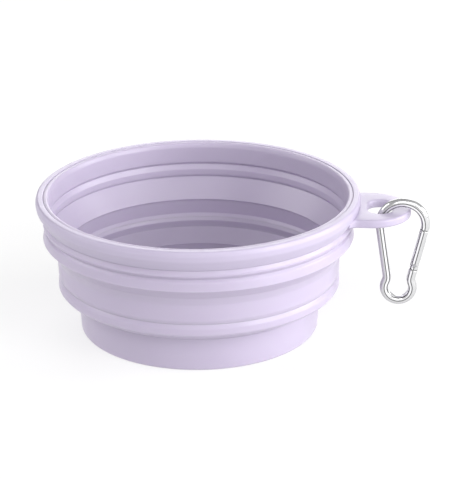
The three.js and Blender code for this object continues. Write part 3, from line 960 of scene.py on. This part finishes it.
def spring_object(link, low, high, steps=16, sides=8):
    """Coil spring in the gate's bore between two places on the gate's axis."""
    wire = link.spring_wire / 2
    coil = BORE_RADIUS - SPRING_ROOM - wire
    count = steps * link.spring_turns
    shape = bmesh.new()
    rings = []
    for k in range(count + 1):
        angle = 2 * math.pi * k / steps
        out = Vector((math.cos(angle), math.sin(angle), 0))
        centre = out * coil + UP * (low + (high - low) * k / count)
        ring = [centre + wire * (math.cos(a) * out + math.sin(a) * UP) for a in round_turn(sides)]
        rings.append([shape.verts.new(point) for point in ring])
    join_rings(shape, rings, sides)
    shape.faces.new(rings[0])
    shape.faces.new(rings[-1])
    spring = bmesh_object("gate_spring_coil", shape)
    spring.data.transform(gate_place())
    smooth(spring, angle=50.0)
    return spring


class PETBOWL_OT_link_gate(bpy.types.Operator):
    """Make the gate with its slots, rivet and spring, and finish the small pins"""
    bl_idname = "petbowl.link_gate"
    bl_label = "Link Gate"

    def execute(self, context):
        link = context.scene.petbowl_link
        finishes = context.scene.petbowl_finishes
        polished = polished_finish("polished_gate", finishes.metal, finishes.gate_roughness, link)
        steel = steel_finish("spring_steel", finishes.steel, finishes.steel_roughness)
        gate = gate_object(link)
        finish_piece(gate, polished, "link_metal", "link_gate")
        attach(gate, "gate")
        rivet = rivet_object(link)
        finish_piece(rivet, steel, "link_metal", "gate_rivet")
        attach(rivet, "gate")
        wire = link.spring_wire / 2
        spring_foot, spring_top = gate_ends("gate_spring")
        low, high = spring_foot + wire, spring_top - wire
        spring = spring_object(link, low, high)
        finish_piece(spring, steel, "spring_steel", "gate_spring")
        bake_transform(spring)
        for name in ("latch_pin", "gate_plunger"):
            paint(frame["nodes"][name], steel)
        return {"FINISHED"}


# Stage

def aim(thing, target):
    """Turns a light or camera towards a point."""
    thing.rotation_euler = (target - thing.location).to_track_quat("-Z", "Y").to_euler()


def area_light(name, place, target, side, power):
    """A square area light aimed at a point."""
    data = bpy.data.lights.new(name, "AREA")
    data.shape = "SQUARE"
    data.size = side
    data.energy = power
    light = new_object(name, data)
    light.location = place
    aim(light, target)


def photo_camera(studio):
    """Camera at the photograph's angle, turned so the bowl falls where the photograph has it."""
    data = bpy.data.cameras.new("photo_camera")
    camera = new_object("photo_camera", data)
    data.sensor_width = 36.0
    data.lens = studio.focal_pixels * data.sensor_width / max(IMAGE_WIDTH, IMAGE_HEIGHT)
    data.clip_start = 0.05
    data.clip_end = 50.0
    middle = Vector((0, 0, studio.bowl_height))
    level = math.cos(studio.elevation)
    back = Vector((math.sin(studio.azimuth) * level, -math.cos(studio.azimuth) * level,
                   math.sin(studio.elevation)))
    camera.location = middle + back * studio.distance
    right = Vector((math.cos(studio.azimuth), math.sin(studio.azimuth), 0))
    up = back.cross(right)
    pixel = studio.distance / studio.focal_pixels
    aim_point = middle + right * (IMAGE_WIDTH / 2 - studio.bowl_x) * pixel
    aim_point += up * (studio.bowl_y - IMAGE_HEIGHT / 2) * pixel
    aim(camera, aim_point)
    rolled = camera.rotation_euler.to_matrix() @ Matrix.Rotation(studio.roll, 3, "Z")
    camera.rotation_euler = rolled.to_euler()
    bpy.context.scene.camera = camera


class PETBOWL_OT_stage(bpy.types.Operator):
    """Make the pale floor, the soft light and the photograph's camera"""
    bl_idname = "petbowl.stage"
    bl_label = "Stage"

    def execute(self, context):
        scene = context.scene
        studio = scene.petbowl_studio
        photo_camera(studio)
        shape = bmesh.new()
        bmesh.ops.create_circle(shape, cap_ends=True, segments=64, radius=6.0)
        floor = bmesh_object("pale_floor", shape)
        paint(floor, floor_finish("pale_floor", scene.petbowl_finishes.floor, studio.glow))
        middle = Vector((0, 0, studio.bowl_height))
        for name, place, side, power in LIGHTS:
            area_light(name, Vector(place), middle, side, getattr(studio, power))
        world = bpy.data.worlds.new("studio_sky")
        world.use_nodes = True
        sky = world.node_tree.nodes["Background"]
        set_inputs(sky, {"Color": (1, 1, 1, 1), "Strength": studio.sky})
        scene.world = world
        scene.view_settings.view_transform = "Standard"
        return {"FINISHED"}


class PETBOWL_PT_panel(bpy.types.Panel):
    """Buttons and sizes of the bowl"""
    bl_idname = "PETBOWL_PT_panel"
    bl_label = "Pet Bowl"
    bl_space_type = "VIEW_3D"
    bl_region_type = "UI"
    bl_category = "Pet Bowl"

    def draw(self, context):
        for operator in OPERATORS:
            self.layout.operator(operator.bl_idname)
        for name in GROUPS:
            group = getattr(context.scene, name)
            box = self.layout.box()
            box.label(text=type(group).__name__)
            for key in type(group).__annotations__:
                box.prop(group, key)


GROUPS = {
    "petbowl_sizes": BowlSizes,
    "petbowl_tab": TabSizes,
    "petbowl_link": LinkSizes,
    "petbowl_finishes": Finishes,
    "petbowl_studio": Studio,
}
OPERATORS = (
    PETBOWL_OT_stage,
    PETBOWL_OT_soft_bowl,
    PETBOWL_OT_rim_frame,
    PETBOWL_OT_link_frame,
    PETBOWL_OT_link_gate,
)


def register():
    """Registers the sizes, operators and panel."""
    for name, group in GROUPS.items():
        bpy.utils.register_class(group)
        setattr(bpy.types.Scene, name, PointerProperty(type=group))
    for operator in OPERATORS:
        bpy.utils.register_class(operator)
    bpy.utils.register_class(PETBOWL_PT_panel)


def unregister():
    """Takes the sizes, operators and panel away again."""
    bpy.utils.unregister_class(PETBOWL_PT_panel)
    for operator in reversed(OPERATORS):
        bpy.utils.unregister_class(operator)
    for name, group in reversed(GROUPS.items()):
        delattr(bpy.types.Scene, name)
        bpy.utils.unregister_class(group)


def main():
    """Builds the stage and every piece."""
    register()
    bpy.ops.petbowl.stage()
    bpy.ops.petbowl.soft_bowl()
    bpy.ops.petbowl.rim_frame()
    bpy.ops.petbowl.link_frame()
    bpy.ops.petbowl.link_gate()


if __name__ == "__main__":
    main()
